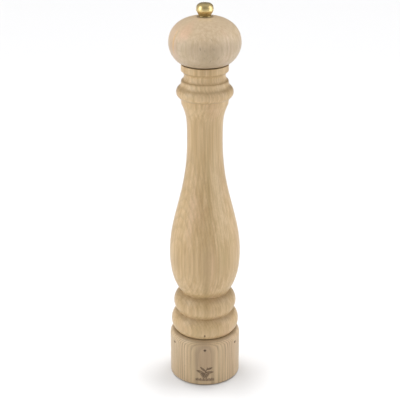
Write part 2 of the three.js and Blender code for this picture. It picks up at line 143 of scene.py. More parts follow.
def grid_solid(points, closed=True, burn=None):
    """An object from rows x columns of points in millimetres. The columns go round the axis.

    closed joins the last row to the first. Otherwise the first and last rows are poles.
    """
    rows, columns = points.shape[:2]
    row, column = np.meshgrid(np.arange(rows if closed else rows - 1), np.arange(columns), indexing="ij")
    side, above = (column + 1) % columns, (row + 1) % rows
    faces = np.stack([row * columns + column, row * columns + side,
                      above * columns + side, above * columns + column], axis=-1)
    mesh = bpy.data.meshes.new("solid")
    mesh.from_pydata((points.reshape(-1, 3) * MM).tolist(), [], faces.reshape(-1, 4).tolist())
    if burn is not None:
        mask = mesh.attributes.new("burn", "FLOAT", "POINT")
        mask.data.foreach_set("value", burn.ravel().astype(np.float32))
    work = bmesh.new()
    work.from_mesh(mesh)
    if not closed:
        bmesh.ops.remove_doubles(work, verts=work.verts, dist=1e-7)
    bmesh.ops.recalc_face_normals(work, faces=work.faces)
    work.to_mesh(mesh)
    work.free()
    made = bpy.data.objects.new("solid", mesh)
    bpy.context.scene.collection.objects.link(made)
    return made


def level_points(radii, heights, angles):
    """Rows of points from radii (rows x columns), a height for each row and an angle for each column."""
    level = np.outer(heights, np.ones(len(angles)))
    return np.stack([radii * np.cos(angles), radii * np.sin(angles), level], axis=-1)


def lathe_points(outline, angles):
    radii = np.outer(np.real(outline), np.ones(len(angles)))
    return level_points(radii, np.imag(outline), angles)


def turned(outline, sides=96):
    """A solid of revolution. An outline that starts on the axis also ends on it."""
    return grid_solid(lathe_points(outline, around(sides)), closed=outline[0].real > 1e-6)


def moulded(corners):
    """A turned solid from corners of (radius, height), with softened edges."""
    return turned(soften([complex(*corner) for corner in corners], 0.25), 144)


def capped(levels):
    """A solid through rows of points, closed at both ends round their middles."""
    ends = [np.repeat(levels[row].mean(axis=0)[None, None], levels.shape[1], 1) for row in (0, -1)]
    return grid_solid(np.concatenate([ends[0], levels, ends[1]]), closed=False)


def rod(radius, bottom, top, distance=0, angle=0, sides=32):
    ends = [radius + bottom * 1j, radius + top * 1j]
    return moved(capped(lathe_points(ends, around(sides))), distance, angle)


def block(x, y, bottom, top, distance=0, angle=0):
    work = bmesh.new()
    bmesh.ops.create_cube(work, size=1)
    bmesh.ops.scale(work, vec=(x * MM, y * MM, (top - bottom) * MM), verts=work.verts)
    bmesh.ops.translate(work, vec=(0, 0, (top + bottom) / 2 * MM), verts=work.verts)
    mesh = bpy.data.meshes.new("block")
    work.to_mesh(mesh)
    work.free()
    made = bpy.data.objects.new("block", mesh)
    bpy.context.scene.collection.objects.link(made)
    return moved(made, distance, angle)


def moved(solid, distance, angle):
    """The solid pushed out from the axis along +X, then turned round it."""
    points = np.zeros(len(solid.data.vertices) * 3)
    solid.data.vertices.foreach_get("co", points)
    x, y, z = (points.reshape(-1, 3) + (distance * MM, 0, 0)).T
    cosine, sine = math.cos(angle), math.sin(angle)
    round_it = np.stack([x * cosine - y * sine, x * sine + y * cosine, z], axis=-1)
    solid.data.vertices.foreach_set("co", round_it.ravel())
    solid.data.update()
    return solid


def combine(solid, tools, operation="DIFFERENCE"):
    """The solid with the tools cut out of it, or joined to it."""
    for tool in tools:
        modifier = solid.modifiers.new("combine", "BOOLEAN")
        modifier.operation, modifier.solver, modifier.object = operation, "EXACT", tool
    bpy.context.view_layer.update()
    result = bpy.data.meshes.new_from_object(solid.evaluated_get(bpy.context.evaluated_depsgraph_get()))
    solid.modifiers.clear()
    solid.data = result
    for tool in tools:
        bpy.data.objects.remove(tool)
    return solid


def place(solid, name, node, body, slot, sharp=35, bevel=0.0):
    """Makes the solid the piece that is shown for a CAD node, in the finish named by its slot."""
    solid.name = name
    solid.data.name = name
    solid.data.shade_smooth()
    solid.data.set_sharp_from_angle(angle=math.radians(sharp))
    solid.data.materials.clear()
    solid.data.materials.append(FINISHES[slot])
    if bevel:
        edge = solid.modifiers.new("edges", "BEVEL")
        edge.width, edge.segments, edge.limit_method = bevel * MM, 2, "ANGLE"
        edge.angle_limit = math.radians(sharp)
    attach(solid, body)
    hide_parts(node)
    return solid


# ---- shader graphs ----


def srgb(red, green, blue):
    """A linear colour from 0..255 screen values."""
    shares = (red / 255, green / 255, blue / 255)
    return (*(c / 12.92 if c <= 0.04045 else ((c + 0.055) / 1.055) ** 2.4 for c in shares), 1.0)


def dimmed(colour, share):
    return (*(c * share for c in colour[:3]), 1.0)


FINISHES = {}


class Graph:
    """A material's nodes, added and linked so that a shader reads as a formula."""

    def __init__(self, name):
        self.material = FINISHES[name] = bpy.data.materials.new(name)
        self.material.use_nodes = True
        self.tree = self.material.node_tree
        self.shader = self.tree.nodes["Principled BSDF"]
        self.place = self.add("ShaderNodeTexCoord").outputs["Object"]
        self.axes = self.add("ShaderNodeSeparateXYZ", {0: self.per_mm(1, 1, 1)}).outputs

    def put(self, socket, value):
        if isinstance(value, bpy.types.NodeSocket):
            self.tree.links.new(value, socket)
        else:
            socket.default_value = value

    def add(self, kind, inputs=None, **settings):
        node = self.tree.nodes.new(kind)
        for name, value in settings.items():
            setattr(node, name, value)
        for name, value in (inputs or {}).items():
            self.put(node.inputs[name], value)
        return node

    def math(self, operation, *values):
        return self.add("ShaderNodeMath", dict(enumerate(values)), operation=operation).outputs[0]

    def vector(self, operation, *values):
        return self.add("ShaderNodeVectorMath", dict(enumerate(values)), operation=operation).outputs[0]

    def joined(self, x, y, z):
        return self.add("ShaderNodeCombineXYZ", {0: x, 1: y, 2: z}).outputs[0]

    def length(self, x, y):
        return self.math("SQRT", self.math("ADD", self.math("MULTIPLY", x, x), self.math("MULTIPLY", y, y)))

    def per_mm(self, x, y, z, place=None):
        """The place, in metres, as a vector with so many units to the millimetre."""
        return self.vector("MULTIPLY", place or self.place, (x / MM, y / MM, z / MM))

    def noise(self, vector, detail=3.0, roughness=0.5, output="Fac"):
        inputs = {"Vector": vector, "Scale": 1.0, "Detail": detail, "Roughness": roughness}
        return self.add("ShaderNodeTexNoise", inputs).outputs[output]

    def ease(self, value, start, end, to_start=0.0, to_end=1.0):
        """A smooth step from one level to another as value goes from start to end."""
        inputs = {0: value, 1: start, 2: end, 3: to_start, 4: to_end}
        return self.add("ShaderNodeMapRange", inputs, interpolation_type="SMOOTHSTEP").outputs[0]

    def mix(self, amount, first, second):
        node = self.add("ShaderNodeMix", data_type="RGBA")
        for index, value in ((0, amount), (6, first), (7, second)):
            self.put(node.inputs[index], value)
        return node.outputs[2]

    def bump(self, height, distance):
        """Bump whose height of 1 is distance, in millimetres."""
        bump = self.add("ShaderNodeBump", {"Height": height, "Distance": distance * MM})
        self.put(self.shader.inputs["Normal"], bump.outputs[0])

    def finish(self, **inputs):
        for name, value in inputs.items():
            self.put(self.shader.inputs[name.replace("_", " ")], value)
        return self.material


# ---- wood ----

SCORCH = srgb(66, 43, 27)


class Wood(Graph):
    """Beech: growth rings about a pith line, upright fibres, pores, ray flecks and soft patches."""

    def bent_place(self, drift, ripple):
        """The place, pushed sideways by a slow drift and a small ripple, in millimetres."""
        slow = self.noise(self.per_mm(0.022, 0.022, 0.006), detail=2, output="Color")
        small = self.noise(self.per_mm(0.16, 0.16, 0.02), detail=2, output="Color")
        bent = self.place
        for push, reach in ((slow, drift * MM), (small, ripple * MM)):
            bent = self.vector("ADD", bent, self.vector("MULTIPLY_ADD", push, (2 * reach, 2 * reach, 0),
                                                        (-reach, -reach, 0)))
        return bent

    def growth(self, pith, tilt, level, arch, drift, ripple):
        """The distance from the pith and the distance round it."""
        bent = self.per_mm(1, 1, 1, self.bent_place(drift, ripple))
        x, y, z = self.add("ShaderNodeSeparateXYZ", {0: bent}).outputs
        above = self.math("SUBTRACT", z, level)
        x = self.math("SUBTRACT", self.math("MULTIPLY_ADD", above, tilt[0], x), pith[0])
        y = self.math("SUBTRACT", self.math("MULTIPLY_ADD", above, tilt[1], y), pith[1])
        distance = self.length(x, y)
        round_it = self.math("MULTIPLY", self.math("ARCTAN2", y, x), distance)
        rise = self.math("MAXIMUM", above, 0.0)
        falling = self.math("MULTIPLY", self.math("MULTIPLY", rise, rise), arch)
        return self.math("SUBTRACT", distance, falling), round_it

    def late_wood(self, distance, spacing, first_ring):
        """1 in the dark line that ends each year's growth, and 0 in the pale wood."""
        year = self.math("DIVIDE", self.math("SUBTRACT", distance, first_ring), spacing)
        part = self.math("FRACT", year)
        late = self.math("MULTIPLY", self.ease(part, 0.25, 0.88), self.ease(part, 0.88, 1.0, 1.0, 0.0))
        vigour = self.add("ShaderNodeTexWhiteNoise", {"W": self.math("FLOOR", year)}, noise_dimensions="1D")
        late = self.math("MULTIPLY", late, self.math("MULTIPLY_ADD", vigour.outputs[0], 0.5, 0.7))
        fading = self.ease(self.noise(self.per_mm(0.3, 0.3, 0.03)), 0.3, 0.7, 0.5, 1.1)
        return self.math("MULTIPLY", late, fading)

    def flecks(self, distance, round_it, width, height):
        """The rays: thin upright sheets that run out from the pith, cut into short dashes."""
        cells = self.joined(self.math("DIVIDE", distance, 7), self.math("DIVIDE", round_it, width),
                            self.math("DIVIDE", self.axes[2], height))
        cell = self.add("ShaderNodeTexVoronoi", {"Vector": cells, "Scale": 1.0})
        chosen = self.add("ShaderNodeSeparateXYZ", {0: cell.outputs["Color"]}).outputs[0]
        return self.math("MULTIPLY", self.ease(cell.outputs["Distance"], 0.2, 0.45, 1.0, 0.0),
                         self.ease(chosen, 0.45, 0.7))

    def mask(self, wander, angle, half_width, height, half_height):
        """1 in a soft patch that falls off to 0: angles in degrees, heights in millimetres."""
        azimuth = self.math("ARCTAN2", self.axes[1], self.axes[0])
        round_it = self.math("SUBTRACT", azimuth, math.radians(angle))
        across = self.math("DIVIDE", round_it, math.radians(half_width))
        up = self.math("DIVIDE", self.math("SUBTRACT", self.axes[2], height), half_height)
        away = self.math("ADD", self.length(across, up), self.math("MULTIPLY_ADD", wander, 0.9, -0.45))
        return self.ease(away, 0.25, 1.0, 1.0, 0.0)


def wood(name, light, dark, warm, cool, pith, spacing, first_ring=0.0, tilt=(0, 0), level=0, arch=0.0,
         drift=3.0, ripple=0.45, ring_depth=0.5, fleck_depth=0.2, patches=(),
         fleck_patch=None, fleck_size=(0.6, 2.6)):
    """A beech finish. The pith crosses the height level at pith, in millimetres, and leans by tilt.

    Above level the rings fall back by arch times the height squared, which closes them in arches.
    Each patch is (angle, half width, height, half height, tint, amount). The ring's patch also paints shade.
    """
    g = Wood(name)
    distance, round_it = g.growth(pith, tilt, level, arch, drift, ripple)
    late = g.late_wood(distance, spacing, first_ring)
    fibre = g.noise(g.per_mm(1.7, 1.7, 0.03), detail=4, roughness=0.6)
    streak = g.noise(g.per_mm(0.35, 0.35, 0.008))
    pores = g.ease(g.noise(g.per_mm(6, 6, 0.35), detail=2), 0.6, 0.72)
    hue = g.noise(g.per_mm(0.05, 0.05, 0.011))
    deep = dimmed(dark, 0.6)

    colour = g.mix(g.ease(streak, 0.3, 0.7), light, dark)
    colour = g.mix(g.ease(hue, 0.52, 0.75, 0.0, 0.6), colour, warm)
    colour = g.mix(g.ease(hue, 0.48, 0.25, 0.0, 0.65), colour, cool)
    for *where, tint, amount in patches:
        colour = g.mix(g.math("MULTIPLY", g.mask(streak, *where), amount), colour, tint)
    colour = g.mix(g.math("MULTIPLY", late, ring_depth), colour, deep)
    colour = g.mix(g.ease(fibre, 0.35, 0.75, 0.0, 0.28), colour, deep)
    colour = g.mix(g.ease(fibre, 0.45, 0.2, 0.0, 0.35), colour, light)
    colour = g.mix(g.math("MULTIPLY", pores, 0.2), colour, deep)
    if fleck_patch:
        fleck_depth = g.math("MULTIPLY_ADD", g.mask(streak, *fleck_patch), 0.8, fleck_depth)
    colour = g.mix(g.math("MULTIPLY", g.flecks(distance, round_it, *fleck_size), fleck_depth), colour, deep)
    normal = g.add("ShaderNodeTexCoord").outputs["Normal"]
    upright = g.math("ABSOLUTE", g.add("ShaderNodeSeparateXYZ", {0: normal}).outputs[2])
    colour = g.mix(g.ease(upright, 0.35, 1.0, 0.0, 0.55), colour, deep)
    burn = g.add("ShaderNodeAttribute", attribute_name="burn").outputs["Fac"]
    grit = g.ease(g.noise(g.per_mm(3, 3, 0.8), detail=2), 0.35, 0.6, 0.75, 1.0)
    colour = g.mix(g.math("MULTIPLY", burn, grit), colour, SCORCH)

    height = g.math("MULTIPLY_ADD", fibre, 0.5, g.math("MULTIPLY", pores, -0.6))
    g.bump(g.math("SUBTRACT", height, g.math("MULTIPLY", late, 0.15)), 0.06)
    rough = g.math("MULTIPLY_ADD", g.noise(g.per_mm(0.8, 0.8, 0.05)), 0.16, 0.34)
    rough = g.math("ADD", rough, g.math("MULTIPLY", burn, 0.3))
    return g.finish(Base_Color=colour, Roughness=rough, Specular_IOR_Level=0.55)


wood(
    "ring_wood", light=srgb(212, 186, 148), dark=srgb(196, 168, 130), warm=srgb(206, 174, 138),
    cool=srgb(198, 175, 134), pith=(0.6, 85), spacing=1.45, first_ring=121.63, level=36, arch=0.0046,
    drift=0.6, ripple=0.3, ring_depth=0.95,
    # The ring's front patch is partly a darker patch in the wood and partly painted shade under the bead
    # above.
    patches=[(-93, 25, 32, 40, srgb(152, 125, 96), 0.6)],
)
wood(
    "body_wood", light=srgb(211, 182, 138), dark=srgb(191, 160, 113), warm=srgb(208, 173, 135),
    cool=srgb(190, 164, 113), pith=(78, 48), spacing=2.4, tilt=(0.01, -0.006), level=200, ripple=0.25,
    ring_depth=0.26,
    patches=[(-88, 9, 130, 70, srgb(166, 139, 90), 0.5), (-80, 5, 220, 90, srgb(174, 148, 96), 0.4),
             (-118, 12, 190, 45, srgb(214, 182, 144), 0.6), (-97, 4, 200, 60, srgb(176, 147, 98), 0.35),
             (-60, 22, 205, 70, srgb(222, 196, 154), 0.55), (-95, 75, 322, 15, srgb(224, 197, 156), 0.55)],
)
wood(
    "head_wood", light=srgb(204, 183, 154), dark=srgb(187, 164, 133), warm=srgb(202, 170, 145),
    cool=srgb(186, 166, 132), pith=(8, 95), spacing=2.3, tilt=(0, 0.06), level=362, ring_depth=0.13,
    patches=[(-128, 20, 378, 12, srgb(208, 168, 140), 0.6), (-148, 3, 366, 18, srgb(214, 168, 108), 0.6),
             (-84, 26, 354, 14, srgb(168, 148, 114), 0.5)],
    fleck_patch=(-84, 30, 359, 20), fleck_size=(1.6, 5.0),
)


# ---- metals and plastics ----


def turned_metal(name, colour, tarnish, roughness, lines=9.0, groove=0.012):
    """Metal from the lathe: fine rings left by the tool, an uneven polish and a thin tarnish."""
    g = Graph(name)
    across = g.math("MULTIPLY", g.length(g.axes[0], g.axes[1]), lines)
    rings = g.noise(g.joined(across, 0.0, g.math("MULTIPLY", g.axes[2], lines)), detail=2)
    cloud = g.noise(g.per_mm(0.25, 0.25, 0.25), detail=4)
    specks = g.ease(g.noise(g.per_mm(2.5, 2.5, 2.5), detail=2), 0.66, 0.74, 0.0, 0.25)
    colour = g.mix(g.ease(cloud, 0.45, 0.75, 0.0, 0.6), colour, tarnish)
    colour = g.mix(specks, colour, dimmed(tarnish, 0.6))
    g.bump(rings, groove)
    rough = g.math("MULTIPLY_ADD", cloud, 0.16, roughness)
    return g.finish(Base_Color=colour, Roughness=rough, Metallic=1.0)


def drawn_metal(name, colour, stain, roughness):
    """Bright or dark steel with draw lines along its length, scuffs and a little stain."""
    g = Graph(name)
    lines = g.noise(g.per_mm(5, 5, 0.06), detail=3)
    cloud = g.noise(g.per_mm(0.3, 0.3, 0.12), detail=4)
    scuffs = g.ease(g.noise(g.per_mm(1.2, 1.2, 1.2), detail=5, roughness=0.7), 0.56, 0.72, 0.0, 0.5)
    colour = g.mix(g.ease(cloud, 0.42, 0.7, 0.0, 0.7), colour, stain)
    colour = g.mix(scuffs, colour, dimmed(stain, 0.7))
    g.bump(lines, 0.02)
    rough = g.math("ADD", g.math("MULTIPLY_ADD", lines, 0.18, roughness), g.math("MULTIPLY", scuffs, 0.2))
    return g.finish(Base_Color=colour, Roughness=rough, Metallic=1.0)


def moulded_plastic(name, colour, faded, roughness):
    """Moulded plastic: a fine spark-eroded grain, soft flow marks and dust in the hollows."""
    g = Graph(name)
    grain = g.noise(g.per_mm(7, 7, 7), detail=2)
    flow = g.noise(g.per_mm(0.12, 0.12, 0.3), detail=3)
    dust = g.ease(g.noise(g.per_mm(1.1, 1.1, 1.1), detail=4), 0.55, 0.75, 0.0, 0.3)
    colour = g.mix(g.ease(flow, 0.4, 0.65), colour, faded)
    colour = g.mix(dust, colour, srgb(128, 116, 98))
    g.bump(grain, 0.02)
    rough = g.math("ADD", g.math("MULTIPLY_ADD", flow, 0.16, roughness), g.math("MULTIPLY", dust, 0.4))
    return g.finish(Base_Color=colour, Roughness=rough)


turned_metal("knob_brass", srgb(220, 198, 142), srgb(190, 160, 102), 0.27)
turned_metal("bush_brass", srgb(206, 170, 104), srgb(158, 124, 74), 0.32, lines=5.0, groove=0.02)
turned_metal("plated_steel", srgb(196, 198, 200), srgb(176, 172, 150), 0.3, lines=6.0)
drawn_metal("shaft_steel", srgb(188, 189, 190), srgb(156, 152, 146), 0.26)
drawn_metal("spring_steel", srgb(150, 150, 152), srgb(112, 106, 100), 0.34)
drawn_metal("burr_steel", srgb(138, 137, 136), srgb(92, 84, 74), 0.38)
moulded_plastic("black_plastic", srgb(34, 34, 35), srgb(44, 43, 42), 0.42)
moulded_plastic("pale_plastic", srgb(222, 218, 206), srgb(208, 201, 184), 0.4)

# ---- the burnt emblem: a pepper sprig over a row of ticks ----

EMBLEM_HEIGHT = 14.5


def leaf(base, tip, belly):
    """A leaf's two edges and its midrib, as lines of complex points."""
    across = 1j * (tip - base) / abs(tip - base) * belly
    bellies = [(base + tip) / 2 + side * across for side in (1, -1)]
    t = np.linspace(0, 1, 15)
    edges = [base * (1 - t) ** 2 + 2 * middle * t * (1 - t) + tip * t**2 for middle in bellies]
    return [*edges, base + (tip - base) * np.linspace(0, 0.8, 5)]


def emblem_lines():
    """The emblem's lines as (points, half width) in millimetres, across plus 1j times up."""
    shares = np.linspace(0, 1, 13)
    stem = -1.4 - 1.2j + (3.4 + 2.2j) * shares + (0.8 + 6.2j) * shares**2
    leaves = [(-0.6 + 0.2j, -8.6 + 3.6j, 2.3), (0.9 + 1.4j, 8.8 + 1.6j, 2.2),
              (1.0 + 2.6j, -4.6 + 7.8j, 1.8), (2.4 + 5.0j, 7.8 + 7.0j, 1.6)]
    lines = [(stem, 0.34)]
    lines += [(line, 0.26) for spec in leaves for line in leaf(*spec)]
    ring = 0.92 * np.exp(1j * np.linspace(0, TURN, 17))
    for row, count in enumerate((4, 3, 2)):
        for i in range(count):
            centre = (i - (count - 1) / 2) * 2.25 - (0.9 + 1.85 * row) * 1j
            lines += [(centre + ring, 0.25), (centre + np.array([0.1 + 0.1j, 0.2 + 0.2j]), 0.3)]
    ticks = 13
    for i in range(ticks):
        x = (i - (ticks - 1) / 2) * 1.5
        lines.append((np.array([x - 8.6j, x - (6.6 - 0.6 * (i % 2)) * 1j]), 0.42))
    return lines


def distance_to(line, points):
    """How far each complex point is from a line of points."""
    nearest = np.full(points.shape, np.inf)
    for start, end in zip(line[:-1], line[1:]):
        along = np.clip(((points - start) / (end - start)).real, 0, 1)
        nearest = np.minimum(nearest, abs(points - start - along * (end - start)))
    return nearest


def burnt(across, up, depth, burn):
    """Adds the emblem's depth and burn to arrays over the ring's wall."""
    edge = 0.2
    for line, half_width in emblem_lines():
        away = distance_to(line, across + 1j * (up - EMBLEM_HEIGHT)) - half_width
        inside = np.clip(0.5 - away / edge, 0, 1)
        depth[:] = np.maximum(depth, 0.3 * inside)
        burn[:] = np.maximum(burn, np.maximum(0.88 * inside, 0.3 * np.exp(-np.maximum(away, 0) / 0.35)))


def dot(across, up, radius, dent, depth, burn, colour=0.92):
    """Adds a drilled and stained dot, round its own middle at 0, 0."""
    away = np.hypot(across, up) / radius
    depth[:] = np.maximum(depth, dent * np.clip(1.25 - away**2, 0, 1))
    burn[:] = np.maximum(burn, colour * np.clip((1.15 - away) / 0.3, 0, 1))


# ---- the wooden pieces ----

WOOD_ROUNDING = 0.45
SETTINGS = 6
SETTING_ANGLES = [FRONT + i * TURN / SETTINGS for i in range(SETTINGS)]
SETTING_HEIGHT = 42.7


def carved(outline, angles, marks):
    """A turned solid whose outside is dented and burnt by marks(angle, radius, height, depth, burn)."""
    points = lathe_points(outline, angles)
    radius = np.outer(np.real(outline), np.ones(len(angles)))
    azimuth = np.outer(np.ones(len(outline)), angles)
    depth, burn = np.zeros(radius.shape), np.zeros(radius.shape)
    marks(azimuth, radius, points[..., 2], depth, burn)
    points[..., :2] *= (1 - depth / radius)[..., None]
    return grid_solid(points, burn=burn)


def round_from(azimuth, angle):
    """The signed angle from one azimuth to others."""
    return (azimuth - angle + math.pi) % TURN - math.pi


def base_ring():
    radius, top = high("base_ring").x, high("base_ring").z
    straight_top, bevel, joint = 45.3, 1.5, 31.8
    mouth, ceiling, ceiling_r, bore, seat, seat_r = 28.5, 38, 26, 15.3, 48.5, 26.8
    outline = [mouth + 0j, radius - bevel + 0j, radius + bevel * 1j]
    outline += bezier(radius + straight_top * 1j, radius + (0.45 * straight_top + 0.55 * top) * 1j,
                      joint + 2.3 + top * 1j, joint + top * 1j, 20)
    outline += [joint + top * 1j, seat_r + top * 1j, seat_r + seat * 1j, bore + seat * 1j,
                bore + ceiling * 1j, ceiling_r + ceiling * 1j]

    def step(point):
        if point.real < mouth + 1:
            return 3.0
        if abs(point.imag - EMBLEM_HEIGHT) < 9.5:
            return 0.22
        return 0.35 if abs(point.imag - SETTING_HEIGHT) < 2.5 else 1.2

    def marks(azimuth, radii, height, depth, burn):
        outside = radii > radius - 0.2
        across = round_from(azimuth, FRONT) * radius
        near = outside & (abs(across) < 11) & (abs(height - EMBLEM_HEIGHT) < 10)
        patch_depth, patch_burn = depth[near], burn[near]
        burnt(across[near], height[near], patch_depth, patch_burn)
        depth[near], burn[near] = patch_depth, patch_burn
        for i, angle in enumerate(SETTING_ANGLES):
            size = 1.2 + 0.09 * ((i + 2) % SETTINGS)
            over = round_from(azimuth, angle) * radius + 1e3 * ~outside
            dot(over, height - SETTING_HEIGHT, size, 0.5, depth, burn)

    patches = [(FRONT, 10.5 / radius)] + [(angle, 2.2 / radius) for angle in SETTING_ANGLES]
    angles = around_with(patches, math.radians(2.2), 0.24 / radius)
    solid = carved(refine(soften(outline, WOOD_ROUNDING), step), angles, marks)
    place(solid, "turned_base_ring", "base_ring", "base_ring", "ring_wood")


def turned_body():
    bottom, top = low("turned_body").z, high("turned_body").z
    joint, hopper, counterbore, counterbore_top, flange_r = 31.8, 12.2, 19.8, 92, 27
    flange_top = bottom + 3
    lower_crease, upper_crease = 28.8 + 74.9j, 24.95 + 97.65j
    belly, neck, flare = 36.5 + 141j, 17.8 + 265.25j, 23.2 + 301.6j
    bead_foot, bead_top, small_top, necking = 23.95 + 307.3j, 25.7 + 318.85j, 23.4 + 324.8j, 20.7 + 328.3j
    cove, collar = 20.4 + 330.7j, 23.45 + 335.05j
    line_depth, line_width = 0.4, 0.35
    outline = [flange_r + bottom * 1j]
    outline += arc(joint + bottom * 1j, lower_crease, 5.06, 24)
    outline += arc(lower_crease, upper_crease, 5.69, 24)
    outline += bezier(upper_crease, 35 + 110j, belly.real + 129j, belly, 32)
    outline += bezier(belly, belly.real + 183j, neck.real + 205.25j, neck, 72)
    outline += bezier(neck, neck.real + 283.25j, neck.real + 289.6j, flare, 24)
    outline += [flare]
    outline += arc(bead_foot, bead_top, 3.38, 16)
    outline += arc(bead_top, small_top - line_width * 1j, -0.72, 8)
    outline += [small_top - line_width * 1j, small_top - line_depth, small_top + line_width * 1j - 0.25]
    outline += arc(small_top + line_width * 1j - 0.25, necking, -0.5, 6)[1:]
    outline += bezier(necking, 20.5 + 328.7j, 20.4 + 329.5j, cove, 4)
    outline += bezier(cove, 20.4 + 332.2j, 22.45 + 334.25j, collar, 12)
    outline += [collar, collar.real + top * 1j, hopper + top * 1j, hopper + counterbore_top * 1j]
    outline += [counterbore + counterbore_top * 1j, counterbore + flange_top * 1j, flange_r + flange_top * 1j]
    pip_height = 58.6

    def step(point):
        if point.real < 28 and point.imag < counterbore_top or point.real < hopper + 1:
            return 6.0
        return 0.35 if abs(point.imag - pip_height) < 2.5 else 1.5

    def marks(azimuth, radii, height, depth, burn):
        over = round_from(azimuth, FRONT) * radii + 1e3 * (radii < 30)
        dot(over * 1.4, (height - pip_height) * 0.45, 0.8, 0.5, depth, burn)

    angles = around_with([(FRONT, 2.0 / joint)], math.radians(1.875), 0.3 / joint)
    solid = carved(refine(soften(outline, WOOD_ROUNDING), step), angles, marks)
    place(solid, "turned_body_wood", "turned_body", "body", "body_wood")


def head():
    bottom, top = high("turned_body").z + 0.6, high("head").z
    foot, spigot, spigot_bottom, plate_seat, bore = 21.9, 11.8, low("head").z, 10.3, 4.4
    dome = high("head").x + 362.3j
    rise, crown = dome.imag - bottom, top - dome.imag
    seat = spigot_bottom + 2.2
    outline = [plate_seat + spigot_bottom * 1j, spigot + spigot_bottom * 1j, spigot + bottom * 1j]
    edge = foot + bottom * 1j
    outline += bezier(edge, edge + 8.9 + rise * 0.12j, dome - rise * 0.33j, dome, 28)
    outline += bezier(dome, dome + crown * 0.72j, 18.4 + top * 1j, bore + top * 1j, 36)
    outline += [bore + top * 1j, bore + seat * 1j, plate_seat + seat * 1j]
    outline = refine(soften(outline, WOOD_ROUNDING), lambda point: 1.5 if point.real > spigot + 1 else 4.0)
    place(turned(outline, 192), "turned_head", "head", "head", "head_wood")


# ---- knob and washer ----


def knob():
    bottom, top = low("knob").z, high("knob").z
    foot, widest = 5.9, high("knob").x + 394.1j
    bore, bore_top = 3.1, 397.2
    lower, upper = widest.imag - bottom, top - widest.imag
    outline = [bore + bottom * 1j]
    edge = foot + bottom * 1j
    outline += bezier(edge, edge + 0.9 + lower * 0.45j, widest - lower * 0.3j, widest, 20)
    outline += bezier(widest, widest + upper * 0.82j, widest.real * 0.72 + top * 1j, top * 1j, 28)
    outline += [top * 1j, bore_top * 1j, bore + (bore_top - 1) * 1j]
    outline = soften(outline, 0.35)
    start = outline.index(bore_top * 1j)
    outline = outline[start:] + outline[:start]
    place(turned(outline), "brass_knob", "knob", "knob", "knob_brass")


def washer():
    outline = sleeve(3.1, 6, low("knob_washer").z, high("knob_washer").z, 0.15)
    place(turned(outline), "brass_washer", "knob_washer", "knob_washer", "knob_brass")


# ---- fasteners ----


def thread(height, angle, pitch):
    """A sharp ridge that climbs by pitch in each turn: 0 at its root and 1 at its crest."""
    share = (height / pitch - angle / TURN) % 1
    return 1 - abs(2 * share - 1)


UP, DOWN = 1, -1
WOOD_SCREW = {"shank": 1.3, "head_r": 2.3}
PLATE_SCREW = {"shank": 1.2, "head_r": 2.2}
ROTOR_SCREW = {"shank": 1.6, "head_r": 4.4}
FLANGE_SCREWS_R, CORE_SCREWS_R, PLATE_SCREWS_R = 23.2, 18, 7
SCREW_GAP = 0.25


def screw(name, node, body, seat, length, direction, shank, head_r,
          distance=0, angle=0, head_height=1.1, pitch=1.1):
    """A pan-headed screw with a cut thread and a cross recess. Its head presses on the height seat."""
    root = shank * 0.72
    rows = [(head_r * 0.55, -head_height), (head_r * 0.85, -head_height * 0.85),
            (head_r * 0.97, -head_height * 0.55), (head_r, -head_height * 0.2), (head_r, 0), (shank, 0)]
    shank_rows = np.arange(0.2, length, pitch / 8)
    angles = around(32)
    ridge = thread(shank_rows[:, None], angles[None, :], pitch)
    point = np.clip((length - shank_rows) / shank, 0.05, 1)[:, None]
    radii = np.concatenate([np.outer([r for r, _ in rows], np.ones(len(angles))),
                            (root + (shank - root) * ridge) * point])
    heights = np.concatenate([[z for _, z in rows], shank_rows])
    solid = capped(level_points(radii, seat + direction * heights, angles))
    ends = sorted((seat - direction * head_height * 0.35, seat - direction * (head_height + 1)))
    bars = [block(*sides, *ends) for sides in ((head_r, head_r * 0.24), (head_r * 0.24, head_r))]
    solid = moved(combine(solid, [combine(bars[0], bars[1:], "UNION")]), distance, angle)
    place(solid, name, node, body, "plated_steel")


def fasteners():
    for i, angle in enumerate(THIRDS, start=1):
        screw(f"flange_screw_{i}", f"housing_screw_{i}", "body", seat=54.5, length=13, direction=UP,
              distance=FLANGE_SCREWS_R, angle=angle, **WOOD_SCREW)
    for i, angle in enumerate(BETWEEN_THIRDS, start=1):
        screw(f"adjuster_screw_{i}", f"core_screw_{i}", "base_ring", seat=50.1, length=9, direction=DOWN,
              distance=CORE_SCREWS_R, angle=angle, **WOOD_SCREW)
    for i, angle in enumerate((0, math.pi), start=1):
        screw(f"plate_screw_{i}", f"drive_plate_screw_{i}", "head", seat=328.6, length=11, direction=UP,
              distance=PLATE_SCREWS_R, angle=angle, **PLATE_SCREW)
    screw("rotor_screw", "burr_screw", "shaft", seat=44.3, length=9.7, direction=UP,
          head_height=1.5, pitch=0.8, **ROTOR_SCREW)


def screw_cutters(distance, angles, bottom, top, seat_bottom, seat_top):
    """Cutters for the shank and then the sunk head of a wood screw at each angle."""
    shank, head_r = WOOD_SCREW["shank"] + SCREW_GAP, WOOD_SCREW["head_r"] + SCREW_GAP
    holes = [rod(shank, bottom, top, distance, angle) for angle in angles]
    return holes + [rod(head_r, seat_bottom, seat_top, distance, angle) for angle in angles]


# ---- what turns with the ring ----

DETENT_R = 23
CORE_FLANGE = (48.7, 51.5)


